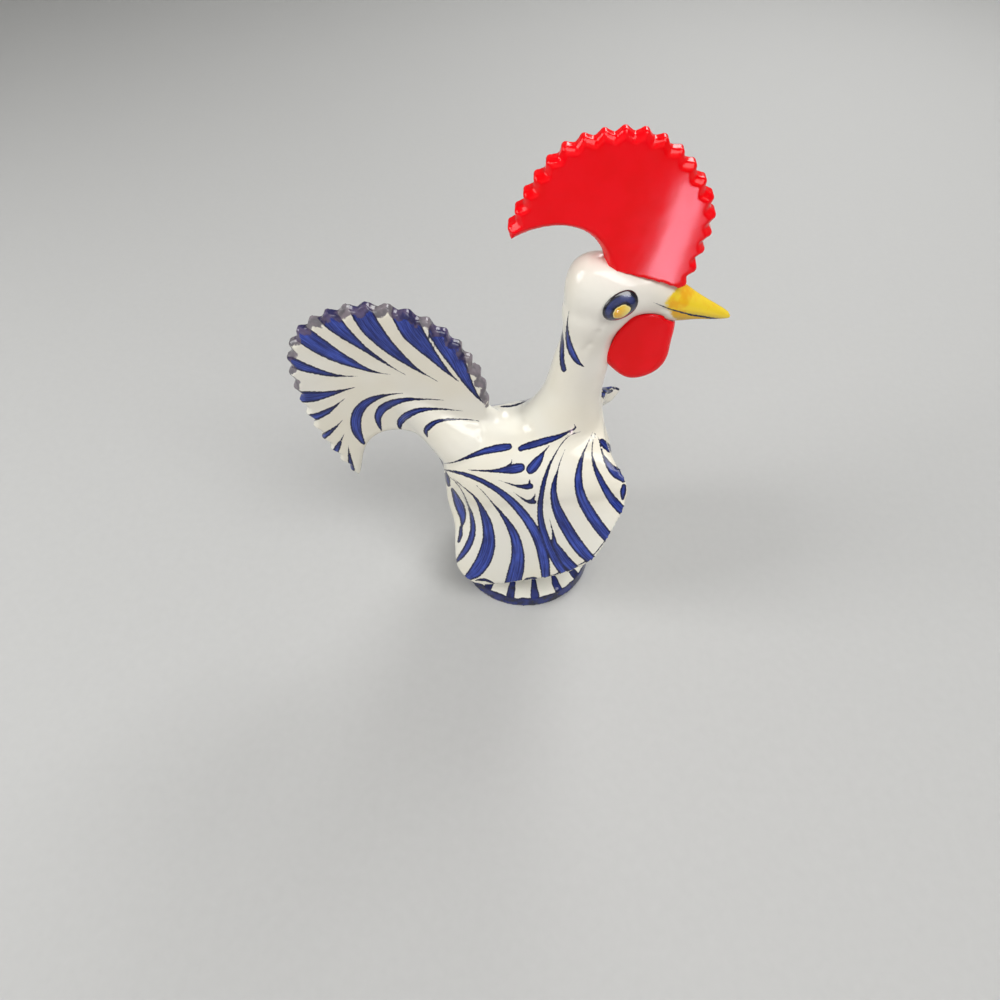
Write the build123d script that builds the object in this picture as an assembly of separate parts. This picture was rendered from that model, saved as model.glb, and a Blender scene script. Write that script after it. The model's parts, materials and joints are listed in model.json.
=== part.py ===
from build123d import *
import os

# Rooster of Barcelos: a hollow hand-painted earthenware figure standing on a round foot.
# Millimetres. The origin is the middle of the foot where it stands, +Z is up and the beak points to +X.

# Clay
wall = 4.0
overrun = 5.0
# A tooth of a pinched edge: height of its flanks as a share of the crest, place along half a tooth
tooth_shares = (0.25, 0.40)

# Foot: a shallow flared ring closed by a flat floor, with a vent for the kiln
foot_radius = 30.5
foot_rim_height = 5.0
foot_rim_taper = 0.8
foot_neck_radius = 22.5
foot_height = 14.0
foot_floor = 4.0
vent_diameter = 3.5
vent_offset = 12.0

# Body: an arched shell whose two sides flare over the foot like folded wings
body_top = 95.5
body_front = 38.4
body_rear = 34.0
body_half_width = 36.0
# Section at a place along the front or rear reach: spring and top of the arch as shares of body_top,
# half width at the spring and where the sides would meet the foot as shares of body_half_width
section_shares = [
    (-1.03, 0.66, 0.78, 0.10, 0.14),
    (-0.94, 0.64, 0.85, 0.33, 0.50),
    (-0.76, 0.63, 0.92, 0.52, 0.80),
    (-0.36, 0.665, 0.955, 0.63, 0.91),
    (0.15, 0.73, 0.98, 0.71, 1.00),
    (0.60, 0.785, 1.00, 0.765, 1.20),
    (0.86, 0.815, 0.99, 0.78, 1.62),
    (1.06, 0.835, 0.95, 0.77, 2.62),
]
# Side view of the body: shares of the front or rear reach and of body_top
rear_edge_shares = [
    (-1.00, 0.85),
    (-1.00, 0.66),
    (-0.96, 0.50),
    (-0.89, 0.34),
]
hem_shares = [
    (-0.86, 0.27),
    (-0.77, 0.215),
    (-0.60, 0.19),
    (-0.38, 0.20),
    (-0.08, 0.24),
    (0.31, 0.325),
    (0.55, 0.41),
    (0.755, 0.53),
    (0.86, 0.655),
    (0.94, 0.75),
    (1.00, 0.835),
    (1.01, 0.87),
]
tip_share = 1.03
# Hollowed front between the tips of the sides, seen from above: shares of body_front, body_half_width
front_line_shares = [
    (1.02, 0.80),
    (0.90, 0.57),
    (0.80, 0.33),
    (0.77, 0.00),
]
# Vault under the flared sides, inside their lip: low over the foot, and open to the top in front
flare_lip = 6.5
flare_vault = 9.0
front_vault_share = 0.66
# Room inside the body: height share of body_top, front, rear and half width
room_shares = [
    (0.30, 0.60, 0.68, 0.50),
    (0.52, 0.76, 0.78, 0.61),
    (0.70, 0.77, 0.76, 0.54),
    (0.84, 0.68, 0.60, 0.40),
    (0.925, 0.52, 0.30, 0.22),
]

# Breast and belly between the sides: height share of body_top, front, rear and half width
belly_shares = [
    (0.30, 0.70, 0.80, 0.60),
    (0.52, 0.90, 0.93, 0.60),
    (0.72, 0.92, 0.92, 0.54),
    (0.87, 0.84, 0.84, 0.40),
    (0.97, 0.78, 0.50, 0.27),
]

# Neck: height above body_top as a share of neck_length, then its back and front edges as shares of
# neck_front, and its half width
neck_length = 51.5
neck_lead = 1.6
neck_top = body_top + neck_length
neck_front = body_front + neck_lead
neck_half_width = 10.6
neck_shares = [
    (-0.099, -0.13, 0.740, 1.38),
    (-0.013, -0.05, 0.730, 1.22),
    (0.087, 0.040, 0.710, 1.08),
    (0.204, 0.120, 0.690, 0.95),
    (0.341, 0.175, 0.695, 0.87),
    (0.515, 0.220, 0.715, 0.85),
    (0.766, 0.285, 0.740, 0.90),
    (1.000, 0.310, 0.880, 0.95),
]

# Head: an egg lying along X on the top of the neck, which narrows towards the beak
head_rear_share = 0.2825
head_lift = 4.0
head_rear = neck_front * head_rear_share
head_length = 36.0
head_middle = neck_top + head_lift
head_half_height = 13.5
head_half_width = 11.0
# Share of head_length, rise of the middle and half height, half width
head_shares = [
    (0.00, 0.13, 0.16, 0.15),
    (0.025, 0.12, 0.42, 0.40),
    (0.10, 0.09, 0.75, 0.73),
    (0.24, 0.05, 0.94, 0.94),
    (0.46, 0.04, 0.85, 1.00),
    (0.70, 0.09, 0.64, 0.70),
    (0.87, 0.01, 0.61, 0.56),
    (1.00, -0.14, 0.58, 0.50),
]

# Beak: a pointed cone with its mouth line cut along both sides
beak_seat = 2.8
beak_root = head_rear + head_length - beak_seat
beak_length = 22.8
beak_set_down = 2.0
beak_root_height = head_middle - beak_set_down
beak_drop = 7.4
beak_half_height = 7.8
beak_half_width = 6.0
beak_shares = [
    (0.00, 1.00),
    (0.35, 0.74),
    (0.70, 0.42),
    (0.93, 0.21),
    (1.00, 0.09),
]
mouth_width = 0.8
mouth_depth = 0.7
mouth_root_share = 0.38
mouth_tip_share = 0.92

# Eyes: two flat pellets pressed on the sides of the head
eye_place_share = 0.47
eye_height_share = 0.163
eye_place = head_rear + head_length * eye_place_share
eye_height = head_middle + head_half_height * eye_height_share
eye_half_length = 5.3
eye_half_height = 6.0
eye_rise = 0.9

# Comb: an upright fan with a pinched edge, thicker where it is pressed onto the head
comb_place_share = 0.32
comb_rise = 7.0
comb_middle = head_rear + head_length * comb_place_share
comb_middle_height = head_middle + head_half_height + comb_rise
comb_radius = 32.0
comb_half_thickness = 2.5
comb_root_half_thickness = 6.2
comb_front_half_thickness = 3.6
comb_teeth = 20
comb_tooth_depth = 1.8
comb_shoulder_share = 0.32
# Shares of comb_radius from the middle of the fan: rim, hollow behind the head, root
comb_rim_shares = [
    (-0.94, 0.02),
    (-0.82, 0.33),
    (-0.66, 0.61),
    (-0.42, 0.86),
    (-0.12, 0.97),
    (0.18, 0.995),
    (0.50, 0.875),
    (0.77, 0.62),
    (0.95, 0.28),
    (0.93, -0.05),
    (0.84, -0.36),
    (0.76, -0.52),
]
comb_hollow_shares = [
    (-0.90, 0.00),
    (-0.73, 0.085),
    (-0.45, 0.135),
    (-0.20, 0.07),
    (-0.07, -0.06),
    (-0.01, -0.18),
    (0.01, -0.30),
]
comb_root_shares = [
    (0.02, -0.55),
    (0.70, -0.60),
]

# Wattle: one thick drop hanging in the middle under the beak
wattle_half_thickness = 4.8
wattle_place_share = 0.397
wattle_sunk = 1.6
wattle_length = 23.2
wattle_height = 33.6
wattle_rear = head_rear + head_length * wattle_place_share
wattle_low = head_middle - wattle_sunk - wattle_height
# Share of the half thickness and of the outline, for its plump section
wattle_section_shares = [
    (-1.00, 0.78),
    (-0.72, 0.95),
    (0.00, 1.00),
    (0.72, 0.95),
    (1.00, 0.78),
]
# Its outline from its middle: shares of wattle_length and wattle_height
wattle_shares = [
    (-0.50, -0.12),
    (-0.26, 0.29),
    (0.16, 0.50),
    (0.45, 0.36),
    (0.50, 0.02),
    (0.34, -0.36),
    (-0.02, -0.50),
    (-0.32, -0.37),
]

# Tail: an upright fan with a pinched edge and one hooked point, thick where it leaves the body
tail_overhang = 53.0
tail_rise = 48.5
tail_reach = body_rear + tail_overhang
tail_top = body_top + tail_rise
tail_half_thickness = 2.7
tail_tooth_depth = 2.0
tail_teeth = 25
# Edge from the back to the point of the hook: shares of tail_reach behind the origin and of tail_top
tail_edge_shares = [
    (0.165, 0.684),
    (0.230, 0.832),
    (0.325, 0.920),
    (0.460, 0.980),
    (0.625, 1.000),
    (0.795, 0.975),
    (0.932, 0.922),
    (0.998, 0.835),
    (1.000, 0.730),
    (0.965, 0.600),
    (0.895, 0.480),
    (0.828, 0.400),
]
tail_hook_shares = [
    (0.815, 0.400),
    (0.785, 0.470),
    (0.740, 0.540),
    (0.665, 0.585),
    (0.580, 0.597),
    (0.500, 0.580),
    (0.450, 0.535),
    (0.415, 0.480),
    (0.385, 0.415),
]
tail_seat_shares = [
    (0.27, 0.44),
    (0.13, 0.58),
    (0.12, 0.66),
]
# Thick root of the tail: share of tail_reach, middle and half height as shares of tail_top, half width
tail_root_half_width = 15.0
tail_root_shares = [
    (0.22, 0.53, 0.110, 1.00),
    (0.34, 0.55, 0.115, 0.80),
    (0.42, 0.60, 0.100, 0.52),
    (0.52, 0.67, 0.075, 0.30),
    (0.62, 0.73, 0.050, 0.17),
]


def along_body(share):
    return share * (body_front if share > 0 else body_rear)


def arch_form(shares, inset):
    """The arched form of the body, with its sides run on down to the foot."""
    sections = []
    for place, spring, top, width, low_width in shares:
        spring_height = body_top * spring
        rise = body_top * top - inset - spring_height
        half_width = body_half_width * width - inset
        half_low = body_half_width * low_width - inset
        edges = [
            EllipticalCenterArc((0, spring_height), half_width, rise, 0, arc_size=180),
            Line((-half_width, spring_height), (-half_low, foot_height)),
            Line((-half_low, foot_height), (half_low, foot_height)),
            Line((half_low, foot_height), (half_width, spring_height)),
        ]
        plane = Plane((along_body(place), 0, 0), x_dir=(0, 1, 0), z_dir=(1, 0, 0))
        sections.append(plane * make_face(edges))
    return loft(sections)


def hem_line(lift):
    return Spline(*[(along_body(x), body_top * z + lift) for x, z in hem_shares])


def side_profile():
    """The body seen from the side: rear edge, hem and the tips of the flared sides."""
    rear = Spline(*[(along_body(x), body_top * z) for x, z in rear_edge_shares])
    hem = hem_line(0)
    high = body_top + overrun
    corner = Line(rear @ 1, hem @ 0)
    tip = body_front * tip_share
    top = Polyline(hem @ 1, (tip, body_top), (tip, high), (-body_rear, high), rear @ 0)
    return side_slab([rear, corner, hem, top], body_half_width * 2)


def vault_form():
    """The room under the flared sides, inside their lip."""
    hem = hem_line(flare_vault)
    front = body_front * tip_share
    side = body_half_width * 2
    under = Polyline(hem @ 1, (front, (hem @ 1).Y), (front, 0), ((hem @ 0).X, 0), hem @ 0)
    low_room = side_slab([hem, under], side) & arch_form(section_shares[2:], flare_lip)
    room_rear = body_front * front_vault_share
    room_front = front + overrun
    corners = [(room_rear, 0), (room_front, 0), (room_front, body_top), (room_rear, body_top)]
    front_slab = side_slab(Polyline(*corners, close=True), side)
    front_room = front_slab & arch_form(section_shares[3:], flare_lip)
    return low_room + front_room


def front_cut():
    """Everything in front of the hollowed line that joins the tips of the two sides."""
    half = [(body_front * x, body_half_width * y) for x, y in front_line_shares]
    far_x = body_front + overrun
    side_y = body_half_width + overrun
    tip_x, tip_y = half[0]
    line = Spline(*half, *[(x, -y) for x, y in reversed(half[:-1])])
    rim = Polyline(
        (tip_x, -tip_y), (tip_x, -side_y), (far_x, -side_y), (far_x, side_y), (tip_x, side_y), (tip_x, tip_y)
    )
    return extrude(make_face([line, rim]), amount=body_top + overrun)


def ovals(shares, foot_circle):
    """A form that rises from a circle at the foot through level ovals."""
    levels = [Plane.XY.offset(foot_height) * Circle(foot_circle)]
    for height, front, rear, width in shares:
        front_x = body_front * front
        rear_x = body_rear * rear
        oval = Ellipse((front_x + rear_x) / 2, body_half_width * width)
        levels.append(Pos((front_x - rear_x) / 2, 0, body_top * height) * oval)
    return loft(levels)


def body_form():
    arch = arch_form(section_shares, 0) & side_profile()
    return arch - vault_form() - front_cut() + ovals(belly_shares, foot_neck_radius)


def body_room():
    return ovals(room_shares, foot_neck_radius - wall)


def neck_form(inset):
    levels = []
    for height, back, front, width in neck_shares:
        back_x = neck_front * back + inset
        front_x = neck_front * front - inset
        oval = Ellipse((front_x - back_x) / 2, neck_half_width * width - inset)
        level = body_top + neck_length * height
        levels.append(Pos((front_x + back_x) / 2, 0, level) * oval)
    return loft(levels)


def head_form(inset):
    levels = []
    for place, rise, height, width in head_shares:
        x = head_rear + inset + (head_length - 2 * inset) * place
        half_width = (head_half_width - inset) * width
        half_height = (head_half_height - inset) * height
        plane = Plane(
            (x, 0, head_middle + head_half_height * rise), x_dir=(0, 1, 0), z_dir=(1, 0, 0)
        )
        levels.append(plane * Ellipse(half_width, half_height))
    return loft(levels)


def foot_form():
    middle_radius = (foot_radius + foot_neck_radius) / 2
    profile = [
        Line((0, 0), (foot_radius, 0)),
        Line((foot_radius, 0), (foot_radius - foot_rim_taper, foot_rim_height)),
        ThreePointArc(
            (foot_radius - foot_rim_taper, foot_rim_height),
            (middle_radius - foot_rim_taper * 2, (foot_rim_height + foot_height) / 2),
            (foot_neck_radius, foot_height),
        ),
        Line((foot_neck_radius, foot_height), (0, foot_height)),
        Line((0, foot_height), (0, 0)),
    ]
    return revolve(Plane.XZ * make_face(profile), Axis.Z)


def foot_hollow():
    rim = foot_radius - foot_rim_taper - wall
    neck = foot_neck_radius - wall
    rim_points = [(0, foot_floor), (rim, foot_floor), (rim, foot_rim_height)]
    profile = Polyline(*rim_points, (neck, foot_height), (0, foot_height), close=True)
    return revolve(Plane.XZ * make_face(profile), Axis.Z)


def side_slab(outline, half_thickness):
    return extrude(Plane.XZ * make_face(outline), amount=half_thickness, both=True)


def pinched(path, teeth, depth):
    """A row of teeth along a smooth path: straight flanks, round crests and sharp notches."""

    def at(share, lift):
        tangent = path.tangent_at(share)
        return path.position_at(share) + Vector(-tangent.Y, tangent.X, 0) * (depth * lift)

    edges = []
    crest, flank = tooth_shares
    for tooth in range(teeth):
        start = tooth / teeth
        end = (tooth + 1) / teeth
        middle = (start + end) / 2
        rise = at(middle + (start - middle) * flank, crest / 2)
        fall = at(middle + (end - middle) * flank, crest / 2)
        edges.append(Line(at(start, -1 / 2), rise))
        edges.append(ThreePointArc(rise, at(middle, 1 / 2), fall))
        edges.append(Line(fall, at(end, -1 / 2)))
    return edges


def comb_form():
    def at(x, z):
        return (comb_middle + comb_radius * x, comb_middle_height + comb_radius * z)

    edge = pinched(Spline(*[at(x, z) for x, z in comb_rim_shares]), comb_teeth, comb_tooth_depth)
    hollow = Spline(*[at(x, z) for x, z in comb_hollow_shares])
    root = [at(x, z) for x, z in comb_root_shares]
    tip = Line(edge[0] @ 0, hollow @ 0)
    closing = Polyline(hollow @ 1, *root, edge[-1] @ 1)
    slab = side_slab([*edge, tip, hollow, closing], comb_root_half_thickness)
    low = comb_middle_height - comb_radius
    shoulder = comb_middle_height - comb_radius * comb_shoulder_share
    upper = comb_middle_height + comb_radius * comb_shoulder_share
    high = comb_middle_height + comb_radius + overrun
    front_view = [
        Line((-comb_root_half_thickness, low), (comb_root_half_thickness, low)),
        Line((-comb_half_thickness, high), (comb_half_thickness, high)),
    ]
    for side in (-1, 1):
        root_y = side * comb_root_half_thickness
        rim_y = side * comb_half_thickness
        front_view.append(Line((root_y, low), (root_y, shoulder)))
        front_view.append(Spline((root_y, shoulder), (rim_y, upper), tangents=[(0, 1), (0, 1)]))
        front_view.append(Line((rim_y, upper), (rim_y, high)))
    rear_x = comb_middle - comb_radius - overrun
    front_x = comb_middle + comb_radius + overrun
    plan_half = [
        (rear_x, comb_root_half_thickness),
        (comb_middle, comb_root_half_thickness),
        (front_x, comb_front_half_thickness - comb_half_thickness / 2),
    ]
    plan = Polyline(*plan_half, *[(x, -y) for x, y in reversed(plan_half)], close=True)
    body = slab & extrude(Plane.YZ * make_face(front_view), amount=front_x, both=True)
    return body & extrude(make_face(plan), amount=high)


def wattle_form():
    middle_x = wattle_rear + wattle_length / 2
    middle_z = wattle_low + wattle_height / 2
    levels = []
    for depth, size in wattle_section_shares:
        outline = [(wattle_length * x * size, wattle_height * z * size) for x, z in wattle_shares]
        plane = Plane(
            (middle_x, wattle_half_thickness * depth, middle_z), x_dir=(1, 0, 0), z_dir=(0, -1, 0)
        )
        levels.append(plane * make_face(Spline(*outline, periodic=True)))
    return loft(levels)


def beak_form():
    levels = []
    for place, size in beak_shares:
        drop = beak_drop * place
        plane = Plane(
            (beak_root + beak_length * place, 0, beak_root_height - drop), x_dir=(0, 1, 0), z_dir=(1, 0, 0)
        )
        levels.append(plane * Ellipse(beak_half_width * size, beak_half_height * size))
    cone = loft(levels)
    for side in (-1, 1):
        root = Vector(
            beak_root, side * beak_half_width, beak_root_height - beak_half_height * mouth_root_share
        )
        tip = Vector(beak_root + beak_length, 0, beak_root_height - beak_drop * mouth_tip_share)
        along = tip - root
        middle = Plane((root + tip) / 2, x_dir=along.cross(Vector(0, 0, 1)), z_dir=along)
        groove = extrude(middle * Rectangle(mouth_depth * 2, mouth_width), amount=along.length, both=True)
        cone = cone - groove
    return cone


def eye_form(side):
    """A pellet that follows the side of the head and stands out by eye_rise."""
    plane = Plane((eye_place, 0, eye_height), x_dir=(1, 0, 0), z_dir=(0, side, 0))
    pellet = extrude(plane * Ellipse(eye_half_length, eye_half_height), amount=head_half_width + overrun)
    return pellet & head_form(-eye_rise)


def tail_form():
    def at(x, z):
        return (-tail_reach * x, tail_top * z)

    edge = pinched(Spline(*[at(x, z) for x, z in reversed(tail_edge_shares)]), tail_teeth, tail_tooth_depth)
    hook = Spline(*[at(x, z) for x, z in tail_hook_shares])
    seat = Polyline(hook @ 1, *[at(x, z) for x, z in tail_seat_shares], edge[-1] @ 1)
    point = Line(edge[0] @ 0, hook @ 0)
    slab = side_slab([*edge, point, hook, seat], tail_half_thickness)
    levels = []
    for place, middle, height, width in tail_root_shares:
        plane = Plane((-tail_reach * place, 0, tail_top * middle), x_dir=(0, -1, 0), z_dir=(-1, 0, 0))
        levels.append(plane * Ellipse(tail_root_half_width * width, tail_top * height))
    return slab + loft(levels)


def build():
    body = body_form()
    neck = neck_form(0)
    head = head_form(0)
    beak = beak_form()
    hollow = body_room() + neck_form(wall) + head_form(wall) + foot_hollow()
    vent = Pos(vent_offset, 0) * Cylinder(vent_diameter / 2, (foot_floor + overrun) * 2)
    foot = foot_form()
    skin = body + neck + head
    return {
        "foot": foot - hollow - vent,
        "body": body - foot - hollow,
        "neck": neck - body - head - hollow,
        "head": head - body - hollow,
        "comb": comb_form() - head - beak,
        "wattle": wattle_form() - skin - beak,
        "beak": beak - head,
        "eye_left": eye_form(1) - head,
        "eye_right": eye_form(-1) - head,
        "tail_fan": tail_form() - body,
    }


os.makedirs("parts", exist_ok=True)
for name, piece in build().items():
    print(name, piece.is_valid, round(piece.volume), len(piece.solids()))
    export_step(piece, f"parts/{name}.step")
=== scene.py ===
import json
import math

import bmesh
import bpy
import numpy as np
from mathutils import Matrix, Vector
from mathutils.bvhtree import BVHTree
from mathutils.kdtree import KDTree

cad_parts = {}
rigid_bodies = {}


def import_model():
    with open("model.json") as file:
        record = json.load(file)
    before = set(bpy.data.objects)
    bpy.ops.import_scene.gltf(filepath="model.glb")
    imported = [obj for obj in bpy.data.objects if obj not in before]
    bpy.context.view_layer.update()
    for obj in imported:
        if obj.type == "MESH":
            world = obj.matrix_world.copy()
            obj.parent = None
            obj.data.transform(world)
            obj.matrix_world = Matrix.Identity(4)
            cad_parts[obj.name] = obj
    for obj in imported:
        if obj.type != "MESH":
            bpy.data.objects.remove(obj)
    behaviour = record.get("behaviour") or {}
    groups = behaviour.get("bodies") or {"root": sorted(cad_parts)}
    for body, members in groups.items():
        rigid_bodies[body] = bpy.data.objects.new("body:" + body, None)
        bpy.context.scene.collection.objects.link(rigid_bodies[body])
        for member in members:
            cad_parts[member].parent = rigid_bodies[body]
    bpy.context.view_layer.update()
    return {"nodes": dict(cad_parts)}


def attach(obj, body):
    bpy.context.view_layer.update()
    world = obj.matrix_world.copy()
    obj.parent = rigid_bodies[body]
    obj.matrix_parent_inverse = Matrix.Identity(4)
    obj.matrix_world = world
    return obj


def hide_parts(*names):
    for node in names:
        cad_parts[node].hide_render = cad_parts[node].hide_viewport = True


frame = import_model()
scene = bpy.context.scene
scene.view_settings.view_transform = "Standard"


# Camera. It looks down on the rooster's right-hand side from 0.3 m above the table,
# close enough for the foot to look smaller than the comb.
lens_point = Vector((-0.000506, -0.20701, 0.301))
lens_right = Vector((0.99927, 0.03569, -0.01323)).normalized()
lens_up = Vector((-0.01973, 0.78297, 0.62175)).normalized()
lens_back = lens_right.cross(lens_up)
camera_data = bpy.data.cameras.new("camera")
camera_data.lens = 27
camera_data.sensor_width = 36
camera_data.clip_start = 0.01
camera = bpy.data.objects.new("camera", camera_data)
scene.collection.objects.link(camera)
turn = Matrix((lens_right, lens_up, lens_back)).transposed()
camera.matrix_world = Matrix.Translation(lens_point) @ turn.to_4x4()
scene.camera = camera
picture_side = 1000
lens_reach = picture_side * camera_data.lens / camera_data.sensor_width


# Table and light. A plain pale table top that curves up behind the rooster, and soft boxes: a
# large one above and in front, two smaller ones towards the tail and behind, and a low strip
# that leaves the streak of gloss on the comb.
bpy.ops.object.select_all(action="DESELECT")
bpy.ops.mesh.primitive_plane_add(size=2.4, location=(0, 0.3, 0))
table = bpy.context.object
table.name = "table"
bpy.ops.object.mode_set(mode="EDIT")
table_mesh = bmesh.from_edit_mesh(table.data)
for edge in table_mesh.edges:
    at_the_back = all(corner.co.y > 0 for corner in edge.verts)
    edge.select = at_the_back
bmesh.update_edit_mesh(table.data)
bpy.ops.mesh.extrude_region_move(TRANSFORM_OT_translate={"value": (0, 0.3, 0.25)})
bpy.ops.mesh.extrude_region_move(TRANSFORM_OT_translate={"value": (0, 0.05, 1.2)})
bpy.ops.object.mode_set(mode="OBJECT")
bpy.ops.object.transform_apply(location=True, rotation=False, scale=False)


def add_node(tree, kind, **settings):
    """One shader node. A setting named like an attribute goes there, and any other into a socket."""
    made = tree.nodes.new("ShaderNode" + kind)
    for name, value in settings.items():
        if hasattr(made, name):
            setattr(made, name, value)
        else:
            made.inputs[name.replace("_", " ")].default_value = value
    return made


def reckon(tree, operation, first, second=None):
    """A Math node of two sockets or numbers, and its result."""
    made = add_node(tree, "Math", operation=operation)
    for place, value in enumerate((first, second)):
        if isinstance(value, (int, float)):
            made.inputs[place].default_value = value
        elif value is not None:
            tree.links.new(value, made.inputs[place])
    return made.outputs[0]


def spread(tree, value, low, high, to_low=0.0, to_high=1.0):
    """A value moved smoothly from one range to another and held at its ends."""
    made = add_node(tree, "MapRange", interpolation_type="SMOOTHSTEP")
    tree.links.new(value, made.inputs["Value"])
    for name, number in (("From Min", low), ("From Max", high), ("To Min", to_low), ("To Max", to_high)):
        made.inputs[name].default_value = number
    return made.outputs["Result"]


def blend_colour(tree, share, first, second):
    """Two colours mixed by a share, each a socket or four numbers."""
    made = add_node(tree, "Mix", data_type="RGBA")
    tree.links.new(share, made.inputs[0])
    colour_sockets = made.inputs[6], made.inputs[7]
    for socket, value in zip(colour_sockets, (first, second)):
        if isinstance(value, tuple):
            socket.default_value = value
        else:
            tree.links.new(value, socket)
    return made.outputs[2]


def grain(tree, scale, detail=2.0, where=None, roughness=0.5):
    """Noise on the piece's own coordinates in metres, or on another vector."""
    made = add_node(tree, "TexNoise", Scale=scale, Detail=detail, Roughness=roughness)
    if where is None:
        where = add_node(tree, "TexCoord").outputs["Object"]
    tree.links.new(where, made.inputs["Vector"])
    return made.outputs["Fac"]


def new_finish(name, **sockets):
    """A material with its Principled shader, whose plain values sit on the shader's sockets."""
    finish = bpy.data.materials.new(name)
    finish.use_nodes = True
    shader = finish.node_tree.nodes["Principled BSDF"]
    for socket, value in sockets.items():
        shader.inputs[socket.replace("_", " ")].default_value = value
    return finish, finish.node_tree, shader


table_grey = (0.50, 0.50, 0.49, 1)
table_light_grey = (0.54, 0.54, 0.53, 1)
table_finish, tree, shader = new_finish("table_paint", Specular_IOR_Level=0.25)
speckle = grain(tree, 260, 3.0)
tree.links.new(blend_colour(tree, speckle, table_grey, table_light_grey), shader.inputs["Base Color"])
tree.links.new(spread(tree, speckle, 0.3, 0.7, 0.55, 0.7), shader.inputs["Roughness"])
table.data.materials.append(table_finish)

world = bpy.data.worlds.new("room")
world.use_nodes = True
room_light = world.node_tree.nodes["Background"]
room_light.inputs["Color"].default_value = (1, 1, 1, 1)
room_light.inputs["Strength"].default_value = 0.44
scene.world = world
middle_of_rooster = Vector((0, 0, 0.1))
for name, place, width, depth, watts in (
    ("key_box", (0.30, -0.55, 0.95), 0.95, 0.80, 14.0),
    ("side_box", (-0.75, -0.15, 0.55), 0.4, 0.5, 4.0),
    ("back_box", (0.35, 0.75, 0.70), 0.5, 0.4, 4.5),
    ("gloss_strip", (0.1165, -0.365, 0.015), 0.021, 0.220, 0.27),
):
    lamp_data = bpy.data.lights.new(name, "AREA")
    lamp_data.shape = "RECTANGLE"
    lamp_data.size = width
    lamp_data.size_y = depth
    lamp_data.energy = watts
    lamp = bpy.data.objects.new(name, lamp_data)
    scene.collection.objects.link(lamp)
    lamp.location = place
    lamp.visible_camera = False
    if name == "gloss_strip":
        lamp.rotation_euler = (math.pi, 0, math.radians(16.4))
        lamp_data.color = (1, 0.72, 0.9)
    else:
        lamp.rotation_euler = (middle_of_rooster - lamp.location).to_track_quat("-Z", "Y").to_euler()


# Body, neck, head, beak and tail. One hollow earthenware figure, joined with slip while it was
# leather hard, wiped smooth over the joints, dipped in white tin glaze and painted in cobalt with
# a full brush, its beak in yellow. The CAD's pieces are merged so that glaze covers the joints.
def pick_up(piece):
    """Makes a piece the selected and active one, for the operators that follow."""
    bpy.ops.object.select_all(action="DESELECT")
    piece.select_set(True)
    bpy.context.view_layer.objects.active = piece


def clay_copy(name, nodes):
    """A merged copy of the CAD's own pieces, to be reworked as one lump of clay."""
    pick_up(frame["nodes"][nodes[0]])
    for node in nodes:
        frame["nodes"][node].select_set(True)
    bpy.ops.object.duplicate()
    bpy.ops.object.parent_clear(type="CLEAR_KEEP_TRANSFORM")
    if len(nodes) > 1:
        bpy.ops.object.join()
    piece = bpy.context.object
    piece.name = piece.data.name = name
    for key in list(piece.keys()):
        del piece[key]
    piece.data.materials.clear()
    bpy.ops.object.mode_set(mode="EDIT")
    bpy.ops.mesh.select_all(action="SELECT")
    bpy.ops.mesh.remove_doubles(threshold=0.00001)
    bpy.ops.object.mode_set(mode="OBJECT")
    return piece


def work(piece, kind, **settings):
    """One modifier put on a piece and applied."""
    modifier = piece.modifiers.new(kind.lower(), kind)
    for name, value in settings.items():
        setattr(modifier, name, value)
    pick_up(piece)
    bpy.ops.object.modifier_apply(modifier=modifier.name)


def smooth_by(piece, shares, iterations, least=0.0):
    """Smooths a piece, each vertex by its own share, and those under the least not at all."""
    soft = piece.vertex_groups.new(name="soft")
    for number in np.nonzero(shares > least)[0]:
        soft.add((int(number),), float(shares[number]), "REPLACE")
    work(piece, "SMOOTH", factor=0.5, iterations=iterations, vertex_group=soft.name)
    piece.vertex_groups.clear()


def places(piece):
    """Every vertex of a piece in metres, one row each."""
    flat = np.empty(len(piece.data.vertices) * 3)
    piece.data.vertices.foreach_get("co", flat)
    return flat.reshape(-1, 3)


def facings(piece):
    """Every vertex normal of a piece, one row each."""
    flat = np.empty(len(piece.data.vertices) * 3)
    piece.data.vertices.foreach_get("normal", flat)
    return flat.reshape(-1, 3)


def move_to(piece, points):
    piece.data.vertices.foreach_set("co", points.astype(np.float32).ravel())
    piece.data.update()


def mark(piece, name, values):
    """A number for every vertex that the piece's material can read."""
    layer = piece.data.attributes.new(name, "FLOAT", "POINT")
    layer.data.foreach_set("value", np.asarray(values, np.float32))


def keep_outer_skin(piece):
    """Takes away whatever isn't joined to the highest point, the top of the head."""
    pick_up(piece)
    bpy.ops.object.mode_set(mode="EDIT")
    bpy.ops.mesh.select_all(action="DESELECT")
    skin = bmesh.from_edit_mesh(piece.data)
    skin.verts.ensure_lookup_table()
    max(skin.verts, key=lambda v: v.co.z).select = True
    bmesh.update_edit_mesh(piece.data)
    bpy.ops.mesh.select_linked()
    bpy.ops.mesh.select_all(action="INVERT")
    bpy.ops.mesh.delete(type="VERT")
    bpy.ops.object.mode_set(mode="OBJECT")


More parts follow.
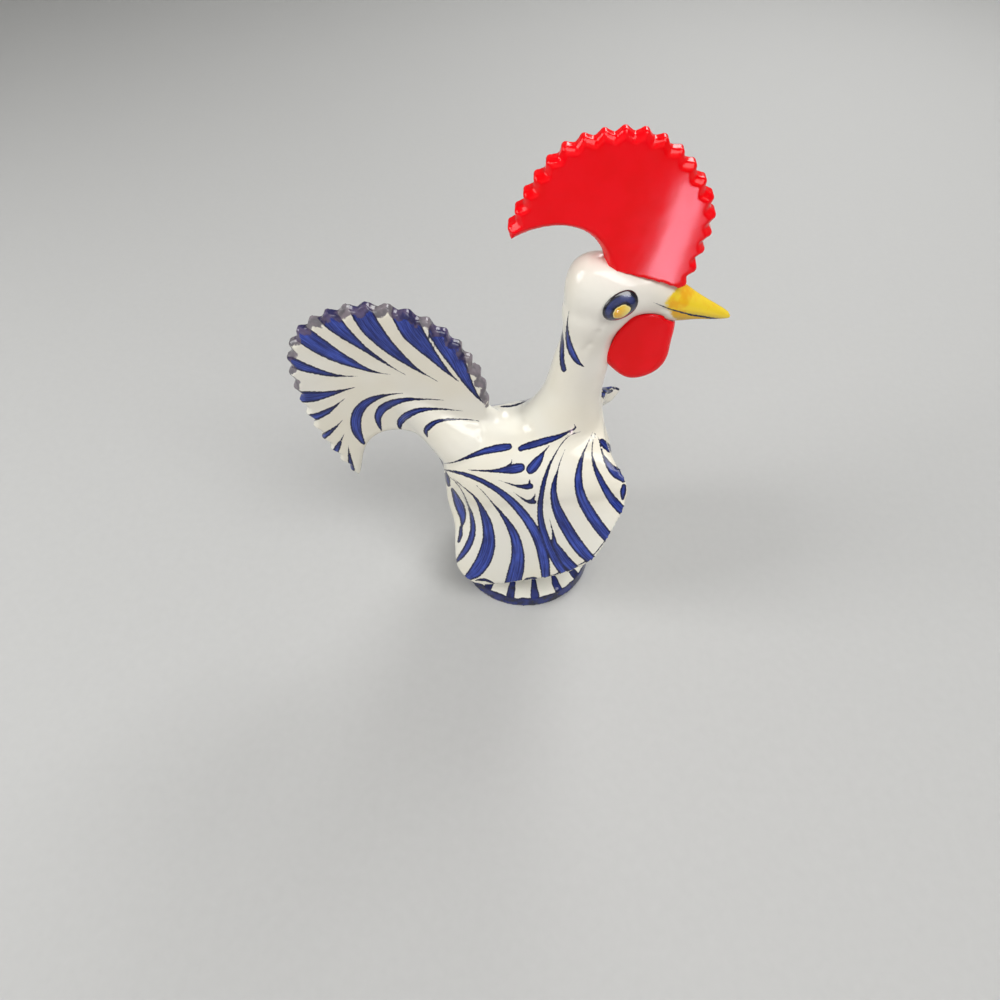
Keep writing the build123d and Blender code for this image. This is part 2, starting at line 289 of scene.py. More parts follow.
def outline_of(node, off_middle, keep):
    """Points every 0.3 mm along a CAD slab's outline on its right face, which is further than
    off_middle from the middle plane, as a tree for finding the nearest."""
    step_length, sharp_angle = 0.0003, 0.6
    slab = bmesh.new()
    slab.from_mesh(frame["nodes"][node].data)
    bmesh.ops.remove_doubles(slab, verts=slab.verts, dist=0.00001)
    found = []
    for edge in slab.edges:
        a, b = (corner.co for corner in edge.verts)
        sharp = len(edge.link_faces) == 2 and edge.calc_face_angle() > sharp_angle
        on_right_face = a.y < -off_middle and b.y < -off_middle
        if sharp and on_right_face and keep(a) and keep(b):
            steps = max(1, int((a - b).length / step_length))
            found += [a.lerp(b, step / steps) for step in range(steps + 1)]
    slab.free()
    nearest = KDTree(len(found))
    for number, point in enumerate(found):
        nearest.insert((point.x, 0, point.z), number)
    nearest.balance()
    return nearest


def from_outline(nearest, points, reach=0.007):
    """How far each point is from an outline seen from the side, in metres and up to a reach."""
    distances = np.full(len(points), reach)
    for number, (x, _, z) in enumerate(points):
        distance = nearest.find((x, 0, z))[2]
        if distance < reach:
            distances[number] = distance
    return distances


def ramp(values, start, stop):
    """0 up to the start and evenly up to 1 at the stop."""
    return np.clip((values - start) / (stop - start), 0, 1)


def hump(values, middle, width):
    """1 at the middle, and smoothly less on both sides of it."""
    return np.exp(-(((values - middle) / width) ** 2))


def beside(points, a, b):
    """How far each point is from a straight line, seen from the side."""
    seen = points[:, [0, 2]] - a
    along = np.clip(seen @ (b - a) / ((b - a) @ (b - a)), 0, 1)
    return np.hypot(*(seen - along[:, None] * (b - a)).T)


def pinched(from_rim, depth):
    """What is left of the thickness where fingers pinched a rim, down a narrow slope."""
    slope_width, hollowing = 0.0019, 1.3
    return 1 - depth * np.clip(1 - from_rim / slope_width, 0, 1) ** hollowing


def on_tail_rim(point):
    """Whether a point of the tail's outline is on its toothed edge."""
    root_x, root_z, root_reach = -0.046, 0.096, 0.029
    lowest, rearmost = 0.0995, -0.0715
    far_from_root = math.hypot(point.x - root_x, point.z - root_z) > root_reach
    return (point.z > lowest and far_from_root) or point.x < rearmost


def on_hook(points, height):
    """The smooth lower edge of the tail, up to a line that rises towards the body."""
    hook_front, hook_rear, climb = -0.055, -0.088, 0.2
    return (points[:, 0] < hook_front) & (points[:, 2] < height + climb * (points[:, 0] - hook_rear))


skin = clay_copy("glazed_figure", ("body", "neck", "head", "tail_fan", "beak"))
work(skin, "REMESH", mode="VOXEL", voxel_size=0.00072, use_smooth_shade=True)
keep_outer_skin(skin)

# Glaze rounds everything, but less so the teeth of the tail and the tip of the beak.
tail_outline = outline_of("tail_fan", off_middle=0.0025, keep=on_tail_rim)
points = places(skin)
rim_looseness, tip_looseness, tightened, beak_tip = 0.12, 0.15, 0.006, 0.0665
looseness = np.minimum(1, rim_looseness + from_outline(tail_outline, points) / tightened)
looseness[on_hook(points, height=0.101)] = 1
looseness *= np.clip((beak_tip - points[:, 0]) / tightened, tip_looseness, 1)
smooth_by(skin, looseness, iterations=14)

# The joint of head and neck is wiped until it hardly shows, and so is the foot of the neck.
x, y, z = places(skin).T
head_on_neck, head_joint_width, throat_x, nape_x = 0.137, 0.010, 0.034, 0.005
neck_on_body, neck_joint_width, neck_x, neck_reach = 0.095, 0.009, 0.014, 0.03
head_joint = hump(z, head_on_neck, head_joint_width) * (x < throat_x) * (x > nape_x)
foot_of_neck = hump(z, neck_on_body, neck_joint_width) * (np.hypot(x - neck_x, y) < neck_reach)
smooth_by(skin, np.maximum(head_joint, foot_of_neck), iterations=110, least=0.02)

# The rear edges of the two sides draw in at half height and kick out again at the hem.
points = places(skin)
x, y, z = points.T
bend_heights = (0.008, 0.019, 0.0275, 0.033, 0.040, 0.049, 0.055, 0.0635, 0.073, 0.080)
bend_inward = (-0.0012, -0.0025, -0.0009, -0.0003, 0.0015, 0.0051, 0.0060, 0.0028, 0.0006, 0)
softening = (-0.003, 0, 0.003)
inward = sum(np.interp(z + shift, bend_heights, bend_inward) for shift in softening) / len(softening)
towards_rear, towards_side = (-0.012, -0.030), (0.010, 0.016)
x += inward * ramp(x, *towards_rear) * ramp(np.abs(y), *towards_side)

# The back of the head runs down into the nape without a waist.
nape_height, nape_width, nape_filling, towards_nape = 0.1435, 0.0065, 0.0012, (0.024, 0.016)
x -= nape_filling * hump(z, nape_height, nape_width) * ramp(x, *towards_nape)

# The front edge of the left side slopes back more than the right one, and its tip is drawn out.
left_side, sloped_back, drawn_out = 0.012, 0.0045, 0.0050
towards_edge, below_top, above_hem = (0.026, 0.036), (0.090, 0.084), (0.045, 0.065)
tip_height, tip_width, towards_tip = 0.082, 0.0035, (0.022, 0.032)
left = y > left_side
x -= sloped_back * left * ramp(x, *towards_edge) * ramp(z, *below_top) * ramp(z, *above_hem)
x += drawn_out * left * ramp(x, *towards_tip) * hump(z, tip_height, tip_width)

# The pinched edge of the tail: the teeth are thinner than the fan.
tail_front, tail_pinch = -0.02, 0.5
y *= np.where(x < tail_front, pinched(from_outline(tail_outline, points), tail_pinch), 1)

# The fold that a finger left on the cheek, below the eye.
cheek_fold = np.array([(0.0241, 0.1463), (0.0226, 0.1423), (0.0204, 0.1364), (0.0189, 0.1337)])
fold_depth, fold_width, cheek_inside = 0.00028, 0.0011, 0.004
for side in (-1, 1):
    for a, b in zip(cheek_fold, cheek_fold[1:]):
        y -= side * fold_depth * hump(beside(points, a, b), 0, fold_width) * (y * side > cheek_inside)

# The mouth, scored along both sides of the beak with a point.
mouth = np.array([(0.0430, 0.1484), (0.0465, 0.1470), (0.0529, 0.1449), (0.0596, 0.1425), (0.0672, 0.1402)])
mouth_depth, mouth_width, ridge_width = 0.00045, 0.0007, 0.001
from_mouth = np.min([beside(points, a, b) for a, b in zip(mouth, mouth[1:])], axis=0)
y -= np.sign(y) * mouth_depth * hump(from_mouth, 0, mouth_width) * ramp(np.abs(y), 0, ridge_width)
move_to(skin, points)


def faces_of(piece):
    """A piece's faces as a tree that rays are cast at."""
    bpy.context.view_layer.update()
    return BVHTree.FromObject(piece, bpy.context.evaluated_depsgraph_get())


def thin_out_inside(piece, kept):
    """Leaves a share of the faces on the wall inside, which has clay on every side but below."""
    shape = faces_of(piece)
    clear_of_wall = 0.0003
    ways = [Vector(way) for way in ((0, 0, 1), (1, 0, 0), (-1, 0, 0), (0, 1, 0), (0, -1, 0))]
    starts = places(piece) + facings(piece) * clear_of_wall
    inside = [all(shape.ray_cast(Vector(start), way)[0] is not None for way in ways) for start in starts]
    pick_up(piece)
    bpy.ops.object.mode_set(mode="EDIT")
    bpy.ops.mesh.select_mode(type="VERT")
    bpy.ops.mesh.select_all(action="DESELECT")
    bpy.ops.object.mode_set(mode="OBJECT")
    piece.data.vertices.foreach_set("select", inside)
    bpy.ops.object.mode_set(mode="EDIT")
    bpy.ops.mesh.select_less()
    bpy.ops.mesh.decimate(ratio=kept)
    bpy.ops.object.mode_set(mode="OBJECT")


thin_out_inside(skin, kept=0.15)


# The brush strokes, each as column, row and width along its middle as the camera sees it
# in a picture of 1000 by 1000; among the body's are two short dark arcs at the hem and a hairline
# of painted shadow under the hem's lip. The far side of the rooster carries the same strokes.
body_strokes = [
    [(444.1, 463.6, 0.5), (453, 462.3, 1.1), (462.9, 459.1, 2.6), (474.4, 454.7, 4.9),
     (486.6, 450.7, 7), (498.9, 448.2, 8.3), (508.8, 446.6, 7)],
    [(574.6, 424.7, 0.9), (575.1, 428.4, 1.8), (568.5, 431.7, 2.4), (558.5, 436.6, 4.9),
     (546.3, 440.6, 7.3), (534.1, 444.3, 7.7), (524.1, 447.3, 6.7), (520.6, 448.7, 5.8)],
    [(469, 470, 0.6), (474.4, 470.3, 1.2), (482, 470.7, 1.8), (494.3, 470.9, 3.4), (505, 470, 7),
     (514.9, 468.8, 10.4), (520.6, 467.5, 9.2)],
    [(511.9, 460.3, 0.6), (511.1, 463.4, 1.8), (508, 466, 3.1)],
    [(549.1, 446.1, 0.5), (544, 451.9, 2.4), (539.4, 458.8, 7.3), (534.8, 464.9, 10.4),
     (530.7, 469.5, 9.5)],
    [(444.1, 469.7, 0.8), (453, 471.4, 2.4), (466.7, 474.9, 4.3), (483.6, 481.8, 5.2),
     (498.9, 490.9, 6.4), (512.6, 502.4, 8), (524.9, 516.2, 9.5), (534.1, 530.7, 10.4),
     (540.5, 545.3, 10.7), (544, 560.6, 11), (545.4, 571.3, 9.8), (545.7, 579.7, 8.9), (546, 585.8, 8.9)],
    [(498.9, 480.2, 0.3), (506.5, 482.8, 0.9), (515.7, 485.6, 2.4), (524.9, 486.8, 5.2),
     (530.2, 486.2, 6.1)],
    [(529.5, 480.2, 0.6), (529.5, 482.8, 2.1), (528.7, 485.6, 3.7)],
    [(513.9, 492.5, 0.3), (520.3, 497.1, 1.2), (526.4, 500.9, 2.8), (531.3, 501.8, 4.6), (534.4, 502, 4)],
    [(535, 494.5, 0.6), (534.4, 497.1, 2.1), (532.2, 500.1, 3.7)],
    [(451.1, 477.9, 0.3), (458.3, 485.6, 0.6), (464, 494.8, 1.1), (468.3, 505.5, 1.8),
     (471.6, 516.2, 4.3), (473, 528.4, 5.8), (471, 539.1, 7), (466.7, 548.3, 7), (461.4, 555.7, 5.8),
     (458.6, 559, 4.3), (456.3, 561.3, 3.7)],
    [(453, 477.9, 0.3), (461.4, 485.3, 0.6), (469, 491.7, 1.4), (475.9, 498.6, 2.8),
     (481.7, 509.3, 5.8), (486.9, 523.1, 10.1), (488.9, 537.6, 12.5), (487.2, 549.9, 15),
     (482.8, 561.3, 15.3), (476.4, 570.5, 13.5), (471, 575.1, 9.5), (466.7, 578.9, 7.7)],
    [(476.7, 485.6, 0.3), (485.1, 494, 0.8), (492.7, 503.2, 1.5), (499.6, 511.3, 3.1),
     (507.3, 522.3, 6.1), (513.6, 533.8, 9.2), (516.9, 545.3, 11.3), (517.8, 557.5, 13.8),
     (516.2, 569.7, 15.9), (513.4, 580.5, 16.2), (511.9, 586.6, 16.2)],
    [(445.8, 473.6, 3.1), (447.6, 479.5, 4.9), (449, 485.3, 3.1)],
    [(452.3, 489.4, 3.1), (456, 497.8, 7), (460, 507, 9.5), (462.7, 516.2, 7.3), (462.4, 523.8, 3.7)],
    [(461.1, 526.9, 3.1), (460.6, 534.6, 4.3), (458.8, 541.4, 3.1)],
    # Two short dark arcs along the lower edge of the hem.
    [(475.9, 580.2, 1.2), (483.6, 579.7, 3.1), (490.4, 581.7, 2.4), (495, 584.3, 0.9)],
    [(521.8, 582.3, 0.9), (527.2, 579.2, 2.8), (534.8, 578.6, 3.1), (540.5, 579.8, 1.2)],
    [(580.7, 431.7, 0.3), (570.8, 435.1, 0.6), (562.4, 442.7, 0.9), (554.7, 455, 1.5),
     (549.4, 465.7, 2.8), (545.1, 477.9, 4.3), (542, 491.7, 5.2), (540.2, 505.5, 5.8),
     (540.5, 517.7, 6.7), (542.9, 530, 7.7), (547.1, 542.2, 8.3), (551.7, 552.9, 8.3),
     (557.8, 563.6, 8.9), (562.8, 571, 8.3), (566.5, 576.6, 7.7)],
    [(565, 449.6, 0.3), (560.4, 461.1, 0.8), (557.3, 471.8, 1.8), (554.6, 482.5, 4.9),
     (553.6, 493.2, 6.7), (555.8, 505.5, 9.2), (560.8, 517.7, 11.3), (567.7, 530, 12.2),
     (575.4, 542.2, 12.5), (583, 551.7, 11.9), (588.5, 557.2, 10.7), (595.3, 562.9, 10.1)],
    [(592.5, 432.3, 0.3), (587.6, 443.5, 0.9), (582.7, 455, 2.8), (580, 465.7, 5.5),
     (578.4, 476.4, 7.7), (579.3, 488.6, 9.2), (583, 500.9, 10.7), (589.9, 513.1, 11.6),
     (598.3, 525.4, 11.6), (606.3, 535.2, 11.3), (613.6, 542.2, 11.3)],
    [(595.3, 433.9, 0.3), (592.5, 444.3, 0.8), (592.2, 455, 1.8), (594.7, 466.5, 4),
     (599.1, 476.7, 5.8), (604.8, 487.9, 7.3), (612.1, 499.4, 8.9), (620.1, 508.2, 9.5),
     (627.4, 514.7, 9.5)],
    [(597.9, 436.9, 0.3), (600.2, 445.8, 0.8), (603.2, 455, 2.4), (608.3, 464.2, 6.4),
     (615.2, 472.6, 9.5), (623.1, 478.7, 7.7)],
    [(616.4, 457.7, 3.1), (619.7, 464.9, 6.1), (623.6, 473.3, 6.7), (625.9, 479.5, 3.1)],
    [(602, 441.5, 6.1), (606, 445.8, 7.3), (609.6, 449.6, 6.1)],
    [(624, 485.6, 4), (623.1, 491.7, 6.4), (622.5, 498.6, 3.1)],
    # A hairline of painted shadow under the lip of the hem at the front, drawn like a stroke.
    [(610.6, 533, 0.5), (602.9, 543.4, 0.8), (594, 554.4, 1.1), (584.6, 561.8, 1.2),
     (575.4, 566.7, 1.2), (561.6, 571.9, 1.4), (550.9, 576.2, 1.4), (542.5, 579.2, 1.2)],
    [(549.5, 518.5, 0.3), (551.2, 525.4, 0.9), (553.3, 534.6, 2.8), (554.7, 544.5, 6.4),
     (560.1, 552.9, 9.2), (565.6, 560.9, 10.7), (571.1, 566.4, 10.7), (576.6, 571.3, 10.4)],
]
tail_strokes = [
    [(348.4, 445.8, 0.3), (348.9, 452.5, 2.3), (350, 459.9, 4.3), (351.7, 469.1, 6.3)],
    [(344.1, 434.2, 0.3), (341.3, 440, 2.3), (337.9, 446.7, 5.6), (335, 452.5, 7)],
    [(342.1, 420.6, 0.3), (337.1, 425.9, 2), (331.3, 430.9, 4.3), (325.5, 435.1, 6), (321.7, 437.5, 5.6)],
    [(345.4, 398.1, 0.3), (339.6, 402.7, 1.3), (333.8, 407.4, 3.6), (326.3, 412.2, 6), (318, 416, 7.3),
     (309.8, 418, 7.6)],
    [(355.4, 387.3, 0.3), (346.2, 389.5, 1.7), (336.3, 392.3, 4.3), (324.7, 394.9, 7.6),
     (313.1, 396.6, 10.6), (299.8, 397.1, 11.9)],
    [(357.8, 376.2, 0.3), (346.2, 376.2, 1.3), (334.6, 375.2, 3.3), (323, 372.9, 5.6),
     (311.4, 369.6, 7.6), (301.5, 366.2, 9.3), (289.9, 361.3, 10.3)],
    [(390.7, 374.5, 0.3), (381.1, 373.2, 1), (371.1, 370.9, 3), (359.5, 366.6, 5.6), (352.9, 363.7, 8),
     (342.9, 359.3, 10.6), (333, 354, 13.6), (323, 348.3, 15.9), (314.7, 343, 17.2),
     (306.4, 337.2, 17.6), (299, 331.7, 16.6)],
    [(405.6, 374.9, 0.3), (396, 369.6, 1), (386, 363.3, 2.3), (372.8, 354.6, 4.3), (359.5, 345, 7),
     (346.2, 334.4, 11.9), (337.9, 326.9, 15.6), (331.3, 319.8, 18.6), (325, 311.5, 20.6)],
    [(437.8, 381.5, 0.3), (429.2, 376.7, 1.2), (419.2, 370.9, 2.7), (408.1, 362.9, 6),
     (392.7, 350.5, 11.3), (379.7, 337.7, 16.3), (367.8, 322.8, 20.2), (359.5, 308.2, 21.2)],
    [(458.3, 381.5, 0.3), (451.5, 375.5, 2.3), (443.3, 367.6, 5.6), (431.6, 354.6, 10.6),
     (421.2, 342.7, 16.9), (411.2, 329.8, 22.2), (403, 314, 23.5)],
    [(483.2, 403.1, 0.5), (475.6, 394.1, 4.3), (468.3, 382.8, 8.6), (461.2, 369.6, 13.6),
     (455.7, 357.9, 18.6), (448.2, 345.5, 21.9), (439.9, 331.4, 23.2)],
    [(402.6, 393.1, 0.3), (391, 394.4, 1.7), (379.4, 396.9, 4.3), (367.8, 401.9, 7.6),
     (359.5, 409.7, 10.3), (355.9, 419.3, 11.6), (356.5, 429.3, 10.3), (359.5, 436.7, 7.6),
     (363.5, 442.9, 4)],
    [(443.3, 400.1, 0.3), (432.5, 399.4, 1), (419.2, 399.2, 2.3), (405.9, 399.7, 4.3),
     (392.7, 403.1, 7.3), (382.7, 408.5, 9), (378.4, 415.2, 8), (378.4, 421.8, 5.6), (381.1, 429.6, 2)],
    [(462.3, 411, 0.3), (452.4, 409.9, 0.8), (440.8, 408.9, 2), (427.5, 409.2, 3.6), (415.9, 411.3, 6),
     (405.9, 416.3, 7.6), (400.6, 421.3, 7), (399.6, 425.9, 4.3), (400.8, 428.9, 2)],
    [(478.9, 421, 0.3), (469, 419.6, 0.8), (457.3, 419.3, 1.7), (445.7, 419.8, 3), (435.8, 422, 4.6),
     (428.8, 426.9, 6), (425.8, 430.9, 5), (427.2, 436.2, 1.7)],
]
left_strokes = [
    [(500.7, 406.5, 0.8), (506.5, 406.6, 2.1), (513.4, 405.6, 2.1), (521.8, 402.8, 1.7),
     (527.9, 399.4, 1.2), (531.8, 396.5, 0.6)],
    [(603.2, 389.5, 4), (607.5, 391.6, 4.6), (611.8, 390.7, 2.8)],
    [(615.5, 388.6, 1.8), (618.5, 389.2, 2.4)],
]
neck_strokes = [
    [(569.2, 310.4, 0.2), (567.6, 319.5, 0.9), (567.1, 328.7, 2.5), (567.8, 337.9, 5.1),
     (569.9, 347.1, 6.7), (573.8, 355.7, 6.7), (578.4, 362.6, 4.4), (584.3, 366.8, 0.5)],
    [(562.5, 328.7, 0.3), (562.3, 336.8, 2.5), (562.1, 345.9, 4.4), (561.8, 355.1, 5.1),
     (562.5, 363.2, 5.1), (563.9, 369.5, 5.3)],
    [(556.6, 325.3, 0.2), (555.2, 333.3, 2.1), (553.3, 342.5, 3), (551.4, 351.7, 3.4),
     (549.7, 360.9, 3), (548.3, 368.9, 1.1)],
]
mouth_strokes = [
    [(654.1, 302.6, 0.5), (663.9, 306.7, 0.9), (670.2, 309.2, 1.3), (681.7, 312.3, 1.6),
     (693.2, 315.2, 1.8), (704.6, 316.8, 1.9), (713.8, 318.6, 1.8), (724.2, 320.1, 1.4)],
]


def seen_at(points):
    """The column and row where the camera sees each point."""
    offset = points - np.array(lens_point)
    depth = -(offset @ np.array(lens_back))
    column = picture_side / 2 + lens_reach * (offset @ np.array(lens_right)) / depth
    row = picture_side / 2 - lens_reach * (offset @ np.array(lens_up)) / depth
    return np.stack([column, row], 1)


def brush_path(points):
    """A smooth path through the points of a stroke, with its width."""
    path = np.array(points, float)
    path = np.vstack([2 * path[0] - path[1], path, 2 * path[-1] - path[-2]])
    share = np.linspace(0, 1, 6, endpoint=False)[:, None]
    runs = []
    for a, b, c, d in zip(path, path[1:], path[2:], path[3:]):
        bend = (2 * a - 5 * b + 4 * c - d) * share**2 + (3 * b - a - 3 * c + d) * share**3
        runs.append(b + ((c - a) * share + bend) / 2)
    runs.append(path[-2:-1])
    return np.vstack(runs)


stroke_marks = ("across", "half", "outside", "run", "shade")
outside_row = stroke_marks.index("outside")
far_off = 9.0
finest_width = 0.2
shade_step = 0.618


def near_strokes(seen, strokes):
    """For every vertex, from where it is seen in the picture: its side and distance from the
    nearest stroke's middle, that stroke's half width there, how far outside the stroke it is,
    how far along it, and the stroke's own shade."""
    count = len(seen)
    across, half, outside = np.full(count, far_off), np.zeros(count), np.full(count, far_off)
    run, shade = np.zeros(count), np.zeros(count)
    for number, stroke in enumerate(strokes):
        path = brush_path(stroke)
        middle, width = path[:, :2], np.maximum(path[:, 2], finest_width)
        low = (middle - width[:, None] / 2).min(0) - far_off
        high = (middle + width[:, None] / 2).max(0) + far_off
        close = np.nonzero(((seen > low) & (seen < high)).all(1))[0]
        step = np.diff(middle, axis=0)
        length = np.maximum(np.hypot(*step.T), 0.001)
        start = np.concatenate([[0], np.cumsum(length)[:-1]])
        offset = seen[close, None, :] - middle[None, :-1, :]
        share = np.clip((offset * step).sum(2) / length**2, 0, 1)
        off = offset - share[:, :, None] * step
        distance = np.hypot(off[:, :, 0], off[:, :, 1])
        breadth = (width[:-1] + np.diff(width) * share) / 2
        best = np.argmin(distance - breadth, 1)
        row = np.arange(len(close))
        gap = (distance - breadth)[row, best]
        nearer = gap < outside[close]
        chosen, row, best = close[nearer], row[nearer], best[nearer]
        left = step[best, 0] * off[row, best, 1] - step[best, 1] * off[row, best, 0]
        across[chosen] = distance[row, best] * np.where(left < 0, -1, 1)
        half[chosen] = breadth[row, best]
        outside[chosen] = gap[nearer]
        run[chosen] = start[best] + share[row, best] * length[best]
        shade[chosen] = number * shade_step % 1
    return np.stack([across, half, outside, run, shade])


def hidden_from_lens(piece, points, facing):
    """Whether each vertex is turned away from the camera or has the piece in front of it."""
    grazing, clear_of_skin = 0.05, 0.0012
    to_lens = np.array(lens_point) - points
    to_lens /= np.linalg.norm(to_lens, axis=1)[:, None]
    hidden = (facing * to_lens).sum(1) < grazing
    shape = faces_of(piece)
    for number in np.nonzero(~hidden)[0]:
        towards = Vector(to_lens[number])
        start = Vector(points[number]) + towards * clear_of_skin
        hidden[number] = shape.ray_cast(start, towards)[0] is not None
    return hidden


def add_strokes(paint, more, here):
    """Paints further strokes where they are allowed and nearer than those already there."""
    return np.where(here & (more[outside_row] < paint[outside_row]), more, paint)


# The strokes of the right side, and the same on the left.
points, facing = places(skin), facings(skin)
to_right = np.ones_like(points)
to_right[:, 1] = -np.sign(points[:, 1])
right_points, right_facing = points * to_right, facing * to_right
paint = near_strokes(seen_at(right_points), body_strokes + tail_strokes + neck_strokes + mouth_strokes)
bare = np.array([far_off, 0, far_off, 0, 0])[:, None]
paint = np.where(hidden_from_lens(skin, right_points, right_facing), bare, paint)

# On the left side, seen past the saddle and the neck, there are a line and two dabs more.
middle_strip = 0.001
in_sight = ~hidden_from_lens(skin, points, facing) & (points[:, 1] >= middle_strip)
paint = add_strokes(paint, near_strokes(seen_at(points), left_strokes), in_sight)

# The breast and the rear have a column of leaves in pairs, each as distance from the middle,
# height and width in millimetres.
breast_strokes = [
    [(10, 78, 0.3), (8.5, 71, 2), (5.5, 64, 3), (1.6, 59, 1.4)],
    [(11, 64, 0.3), (9.5, 57, 2), (6, 50, 3), (1.6, 45, 1.4)],
    [(11, 50, 0.3), (9.5, 43, 2), (6, 36, 3), (1.6, 31, 1.4)],
]
rear_strokes = [
    [(1, 78, 0.3), (3, 70, 1.8), (5.5, 60, 3), (5.5, 50, 2.6), (4, 44, 1)],
    [(1, 60, 0.3), (1.6, 54, 1.4), (2, 48, 2.4), (1.4, 42, 1)],
    [(2, 40, 0.3), (4, 35, 1.6), (5, 29, 2.6), (4, 24, 1)],
]
dots_per_mm = 2.6
half_column, least_facing, below_neck, before_tail = 0.013, 0.3, 0.106, -0.045
flat_view = right_points[:, 1:] * -1000 * dots_per_mm
for strokes, fore, reach in ((breast_strokes, 1, 0.028), (rear_strokes, -1, 0.018)):
    in_dots = [np.array(stroke) * (dots_per_mm, -dots_per_mm, dots_per_mm) for stroke in strokes]
    middle = (np.abs(points[:, 1]) < half_column) & (points[:, 0] * fore > reach)
    middle &= facing[:, 0] * fore > least_facing
    middle &= (points[:, 2] < below_neck) & (points[:, 0] > before_tail)
    paint = add_strokes(paint, near_strokes(flat_view, in_dots), middle)
for name, values in zip(stroke_marks, paint):
    mark(skin, name, values)

# The pinched rim of the tail is darkened with painted shade in grey-violet, but not its smooth lower edge.
from_rim = from_outline(tail_outline, points) * 1000
from_rim[on_hook(points, height=0.104)] = far_off
mark(skin, "rim", from_rim)

# The beak's yellow is brushed a little way onto the head, in a blunt point.
column, row = seen_at(right_points).T
upper_column, lower_column, point_row = 664.5, 664, 303
upper_slant, lower_slant = (0.82, 0.57), (0.84, 0.54)
above_point = (column - upper_column) * upper_slant[0] + (row - point_row) * upper_slant[1]
below_point = (column - lower_column) * lower_slant[0] - (row - point_row) * lower_slant[1]
face_x, throat_z = 0.037, 0.134
by_beak = (points[:, 0] > face_x) & (points[:, 2] > throat_z)
mark(skin, "yellow", np.where(by_beak, np.minimum(above_point, below_point), -far_off))

beak_yellow = (0.93, 0.68, 0.035, 1)
beak_orange = (0.88, 0.45, 0.012, 1)
lower_bill_shade = (0.66, 0.36, 0.03, 1)
glaze_white = (0.86, 0.84, 0.75, 1)
glaze_warm = (0.84, 0.80, 0.67, 1)
cobalt = (0.016, 0.028, 0.190, 1)
cobalt_light = (0.055, 0.100, 0.500, 1)
cobalt_dark = (0.009, 0.011, 0.045, 1)
rim_shade_dark = (0.030, 0.024, 0.060, 1)
rim_shade_light = (0.115, 0.085, 0.130, 1)


def read_mark(tree, name):
    return add_node(tree, "Attribute", attribute_name=name).outputs["Fac"]


def where_on_piece(tree):
    """The piece's own X, Y and Z in metres."""
    position = add_node(tree, "SeparateXYZ")
    tree.links.new(add_node(tree, "TexCoord").outputs["Object"], position.inputs[0])
    return position.outputs


def waver_of(tree, scale, detail, breadth):
    """How far a hand-drawn edge strays to both sides."""
    return reckon(tree, "MULTIPLY", reckon(tree, "SUBTRACT", grain(tree, scale, detail), 0.5), breadth)


def glaze(tree, shader, colour, unevenness=1.0):
    """The look of a thick glaze: gloss with faint waves, pits and smears."""
    waves = grain(tree, 110, 1.0)
    pits = grain(tree, 1900, 2.0)
    height = reckon(tree, "ADD", waves, reckon(tree, "MULTIPLY", pits, 0.05))
    bump = add_node(tree, "Bump", Strength=0.35 * unevenness, Distance=0.0006)
    tree.links.new(height, bump.inputs["Height"])
    tree.links.new(bump.outputs[0], shader.inputs["Normal"])
    smears = spread(tree, grain(tree, 420, 4.0), 0.35, 0.7, 0.09, 0.09 + 0.11 * unevenness)
    tree.links.new(smears, shader.inputs["Roughness"])
    tree.links.new(colour, shader.inputs["Base Color"])


def brushwork(tree, ground):
    """Cobalt strokes over a ground colour: crisp wavering edges that hold more pigment, and
    streaks along the stroke where the hairs of the brush parted."""
    half, outside, side = (read_mark(tree, name) for name in ("half", "outside", "across"))
    # A hairline keeps to its own middle, and a broad stroke to its outline.
    hairline = reckon(tree, "SUBTRACT", reckon(tree, "ABSOLUTE", side), half)
    hairline = reckon(tree, "MAXIMUM", hairline, reckon(tree, "SUBTRACT", outside, 0.7))
    broad = spread(tree, half, 0.8, 1.4)
    edge = reckon(tree, "MULTIPLY", reckon(tree, "SUBTRACT", outside, hairline), broad)
    edge = reckon(tree, "ADD", edge, hairline)
    edge = reckon(tree, "ADD", edge, waver_of(tree, 900, 3.0, 1.6))
    place = add_node(tree, "CombineXYZ")
    along, own_shade = read_mark(tree, "run"), read_mark(tree, "shade")
    for axis, (value, scale) in enumerate(((along, 0.035), (side, 0.8), (own_shade, 37))):
        tree.links.new(reckon(tree, "MULTIPLY", value, scale), place.inputs[axis])
    streaks = spread(tree, grain(tree, 1.0, 4.0, place.outputs[0], 0.7), 0.40, 0.62)
    clouds = spread(tree, grain(tree, 160, 3.0), 0.35, 0.65)
    inner = blend_colour(tree, streaks, cobalt, cobalt_light)
    inner = blend_colour(tree, reckon(tree, "MULTIPLY", clouds, 0.3), inner, cobalt_dark)
    colour = blend_colour(tree, spread(tree, edge, -0.5, -3.0), cobalt_dark, inner)
    return blend_colour(tree, spread(tree, edge, 0.25, -0.3), ground, colour)


def beak_colour(tree):
    """Yellow, in thin patches more orange, more so towards the root, and darker brown below the mouth,
    which is painted shade on the lower bill.
    """
    position = where_on_piece(tree)
    towards_root = spread(tree, position["X"], 0.044, 0.062, 0.06, -0.1)
    patches = reckon(tree, "ADD", grain(tree, 170, 3.0), towards_root)
    colour = blend_colour(tree, spread(tree, patches, 0.44, 0.66), beak_yellow, beak_orange)
    # Painted shade: below the mouth line the lower bill is mixed towards a darker brown.
    above_mouth = reckon(tree, "ADD", position["Z"], reckon(tree, "MULTIPLY", position["X"], 0.339))
    above_mouth = reckon(tree, "SUBTRACT", above_mouth, 0.16297)
    return blend_colour(tree, spread(tree, above_mouth, 0.0003, -0.0012, 0, 0.75), colour, lower_bill_shade)


